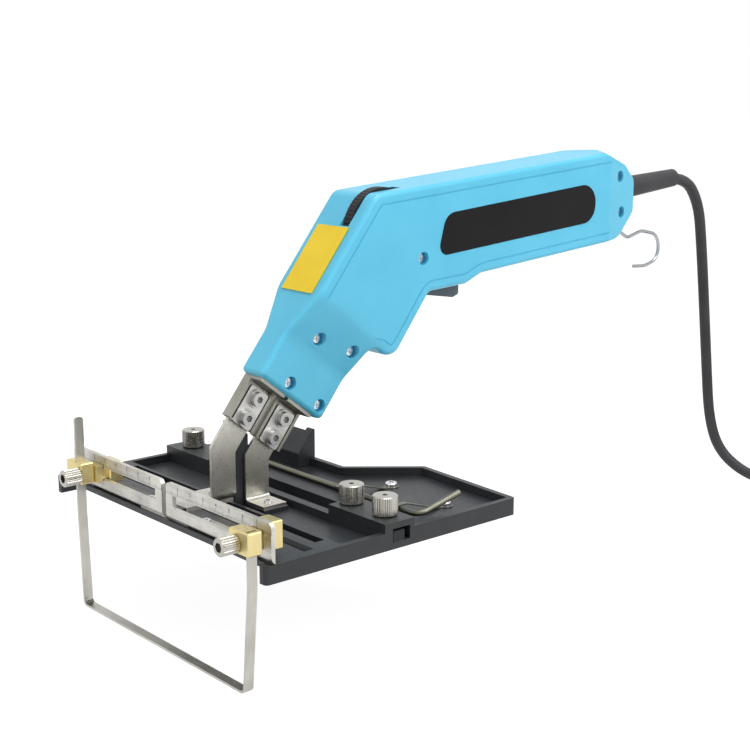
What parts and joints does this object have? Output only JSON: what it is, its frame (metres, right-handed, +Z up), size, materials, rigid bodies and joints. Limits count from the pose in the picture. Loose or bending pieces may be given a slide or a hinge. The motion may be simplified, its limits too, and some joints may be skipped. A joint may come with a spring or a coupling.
{
  "type": "foam cutting knife",
  "caption": "Corded hot blade foam cutter: gun shaped body with heat dial and trigger on a guide sledge whose slotted arms clamp a U shaped blade.",
  "frame": {"origin": "on the sole of the sledge, midway between its side walls and at the front edge of the guide channel's bar", "axes": "+X along the scale arms to the right, +Y from the blade to the tail of the gun, +Z up"},
  "size_m": [0.2617, 0.546, 0.2135],
  "materials": {
    "housing": "satin light blue",
    "base": "fine grained charcoal",
    "steel": "bright nickel plate",
    "blade_steel": "ground strip",
    "knob_steel": "knurled nickel plate",
    "rod_steel": "dull plated",
    "brass": "milled",
    "copper": "drawn copper",
    "aluminium": "tumbled",
    "plate_black": "gloss black, bare",
    "panel_yellow": "gloss yellow, bare",
    "dark_plastic": "moulded black",
    "cord_rubber": "matt sheath",
    "tie_fabric": "woven strap",
    "hook_wire": "plated wire",
    "board_green": "lacquered laminate",
    "core_iron": "stacked sheet",
    "enamel_wire": "enamelled copper",
    "pale_plastic": "moulded"
  },
  "bodies": {
    "frame": {"base_plate": "base", "rod_springs": "rod_steel", "spring_screws": "steel", "left_arm": "steel", "right_arm": "steel", "arm_screws": "steel", "housing_right": "housing", "housing_left": "housing", "neck_screws": "steel", "body_screws": "steel", "nameplate": "plate_black", "front_panel": "panel_yellow", "potentiometer": "dark_plastic", "control_board": "board_green", "trigger_pin": "steel", "switch_body": "dark_plastic", "transformer_core": "core_iron", "primary_winding": "enamel_wire", "front_output_bar": "copper", "rear_output_bar": "copper", "bar_spacer": "pale_plastic", "front_bracket": "steel", "rear_bracket": "steel", "front_strip": "steel", "rear_strip": "steel", "front_clamp_plate": "aluminium", "rear_clamp_plate": "aluminium", "terminal_screws": "steel", "foot_screws": "steel", "strain_relief": "cord_rubber", "cord_clamp": "dark_plastic", "cord_clamp_screws": "steel", "power_cord": "cord_rubber", "cord_coil": "cord_rubber", "cord_tie": "tie_fabric", "plug": "dark_plastic", "plug_pins": "brass"},
    "heat_dial": {"heat_dial": "dark_plastic"},
    "trigger": {"trigger": "dark_plastic"},
    "hook": {"hanging_hook": "hook_wire"},
    "left_clamp": {"left_clamp": "brass", "left_clamp_nut": "brass"},
    "right_clamp": {"right_clamp": "brass", "right_clamp_nut": "brass"},
    "left_clamp_screw": {"left_clamp_screw": "knob_steel"},
    "right_clamp_screw": {"right_clamp_screw": "knob_steel"},
    "blade": {"blade": "blade_steel"},
    "right_inner_knob": {"right_inner_knob": "knob_steel"},
    "right_outer_knob": {"right_outer_knob": "knob_steel"},
    "left_knob": {"left_knob": "knob_steel"},
    "right_guide_bar": {"right_guide_bar": "dark_plastic"},
    "left_guide_bar": {"left_guide_bar": "dark_plastic"},
    "guide_rod": {"guide_rod": "rod_steel"}
  },
  "joints": [
    {"name": "dial_turn", "type": "hinge", "parent": "frame", "child": "heat_dial", "pos_m": [0.01125, 0.0501, 0.1325], "axis": [1, 0, 0], "range_deg": [-140, 140]},
    {"name": "trigger_pull", "type": "hinge", "parent": "frame", "child": "trigger", "pos_m": [0.01125, 0.0825, 0.1063], "axis": [1, 0, 0], "range_deg": [0, 8], "stiffness_Nm_per_rad": 0.4, "springref_deg": -8.59},
    {"name": "hook_swing", "type": "hinge", "parent": "frame", "child": "hook", "pos_m": [0.01125, 0.226, 0.1245], "axis": [1, 0, 0], "range_deg": [-50, 25]},
    {"name": "left_clamp_slide", "type": "slide", "parent": "frame", "child": "left_clamp", "axis": [1, 0, 0], "range_m": [-0.014, 0]},
    {"name": "right_clamp_slide", "type": "slide", "parent": "frame", "child": "right_clamp", "axis": [1, 0, 0], "range_m": [-0.014, 0]},
    {"name": "blade_depth", "type": "slide", "parent": "left_clamp", "child": "blade", "axis": [0, 0, 1], "range_m": [-0.005, 0.011]},
    {"name": "left_clamp_turn", "type": "hinge", "parent": "left_clamp", "child": "left_clamp_screw", "pos_m": [-0.0508, -0.0811, 0.018], "axis": [0, -1, 0], "range_deg": [0, 360]},
    {"name": "right_clamp_turn", "type": "hinge", "parent": "right_clamp", "child": "right_clamp_screw", "pos_m": [0.079, -0.0811, 0.018], "axis": [0, -1, 0], "range_deg": [0, 360]},
    {"name": "right_inner_knob_turn", "type": "hinge", "parent": "frame", "child": "right_inner_knob", "pos_m": [0.05385, 0.002, 0.0125], "axis": [0, 0, 1], "range_deg": [0, 360]},
    {"name": "right_outer_knob_turn", "type": "hinge", "parent": "frame", "child": "right_outer_knob", "pos_m": [0.07735, 0.002, 0.0125], "axis": [0, 0, 1], "range_deg": [0, 360]},
    {"name": "left_knob_turn", "type": "hinge", "parent": "frame", "child": "left_knob", "pos_m": [-0.0775, 0.002, 0.0125], "axis": [0, 0, 1], "range_deg": [0, 360]},
    {"name": "right_bar_slide", "type": "slide", "parent": "frame", "child": "right_guide_bar", "axis": [1, 0, 0], "range_m": [0, 0.025]},
    {"name": "left_bar_slide", "type": "slide", "parent": "frame", "child": "left_guide_bar", "axis": [-1, 0, 0], "range_m": [0, 0.025]},
    {"name": "rod_slide", "type": "slide", "parent": "frame", "child": "guide_rod", "axis": [1, 0, 0], "range_m": [-0.008, 0.0025]}
  ],
  "couplings": [
    {"joint": "right_clamp_slide", "follows": "left_clamp_slide", "ratio": 1}
  ]
}
